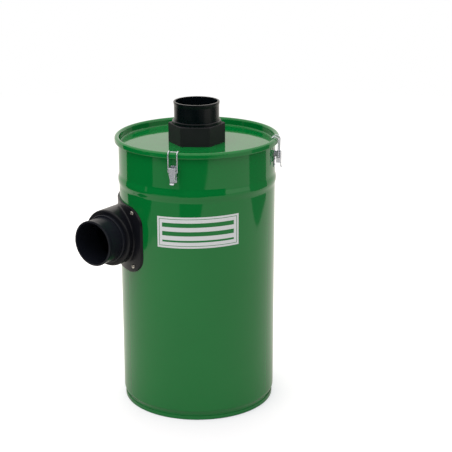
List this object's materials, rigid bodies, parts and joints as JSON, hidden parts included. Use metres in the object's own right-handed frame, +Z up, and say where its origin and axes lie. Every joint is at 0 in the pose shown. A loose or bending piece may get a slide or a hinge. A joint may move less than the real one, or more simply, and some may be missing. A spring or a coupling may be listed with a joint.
{
  "type": "drum cyclone separator",
  "caption": "Floor-standing steel drum cyclone separator with a latched lid, a tangential side inlet port and a vertical outlet port for dust hose.",
  "frame": {"origin": "centre of the drum's foot, on the floor", "axes": "+Z up the drum's axis, -Y the drum's front, +X to the right seen from the front"},
  "size_m": [0.4529, 0.3723, 0.6841],
  "materials": {
    "green_paint": "gloss",
    "seal_rubber": "matt",
    "matt_black_plastic": "matt",
    "black_plastic": "satin",
    "zinc_plate": "bright zinc plating"
  },
  "bodies": {
    "root": {"drum_shell": "green_paint", "drum_base": "green_paint", "lid": "green_paint", "lid_seal": "seal_rubber", "outlet_hex": "matt_black_plastic", "outlet_spigot": "black_plastic", "outlet_backnut": "matt_black_plastic", "inlet_saddle": "black_plastic", "inlet_spigot": "black_plastic", "latch_plate_1": "zinc_plate", "latch_pin_1": "zinc_plate", "latch_plate_2": "zinc_plate", "latch_pin_2": "zinc_plate", "latch_plate_3": "zinc_plate", "latch_pin_3": "zinc_plate"},
    "lever_1": {"latch_lever_1": "zinc_plate"},
    "bail_1": {"latch_bail_1": "zinc_plate"},
    "lever_2": {"latch_lever_2": "zinc_plate"},
    "bail_2": {"latch_bail_2": "zinc_plate"},
    "lever_3": {"latch_lever_3": "zinc_plate"},
    "bail_3": {"latch_bail_3": "zinc_plate"}
  },
  "joints": [
    {"name": "lever_1_hinge", "type": "hinge", "parent": "root", "child": "lever_1", "pos_m": [-0.051, -0.17554, 0.5772], "axis": [-0.9603, 0.279, 0], "range_deg": [0, 100]},
    {"name": "bail_1_hinge", "type": "hinge", "parent": "lever_1", "child": "bail_1", "pos_m": [-0.05086, -0.17506, 0.5695], "axis": [-0.9603, 0.279, 0], "range_deg": [-85, 0]},
    {"name": "lever_2_hinge", "type": "hinge", "parent": "root", "child": "lever_2", "pos_m": [0.17811, -0.04112, 0.5772], "axis": [-0.225, -0.9744, 0], "range_deg": [0, 100]},
    {"name": "bail_2_hinge", "type": "hinge", "parent": "lever_2", "child": "bail_2", "pos_m": [0.17763, -0.04101, 0.5695], "axis": [-0.225, -0.9744, 0], "range_deg": [-85, 0]},
    {"name": "lever_3_hinge", "type": "hinge", "parent": "root", "child": "lever_3", "pos_m": [-0.02544, 0.18102, 0.5772], "axis": [0.9903, 0.1392, 0], "range_deg": [0, 100]},
    {"name": "bail_3_hinge", "type": "hinge", "parent": "lever_3", "child": "bail_3", "pos_m": [-0.02537, 0.18053, 0.5695], "axis": [0.9903, 0.1392, 0], "range_deg": [-85, 0]}
  ],
  "couplings": [
    {"joint": "bail_1_hinge", "follows": "lever_1_hinge", "ratio": -0.85},
    {"joint": "bail_2_hinge", "follows": "lever_2_hinge", "ratio": -0.85},
    {"joint": "bail_3_hinge", "follows": "lever_3_hinge", "ratio": -0.85}
  ]
}
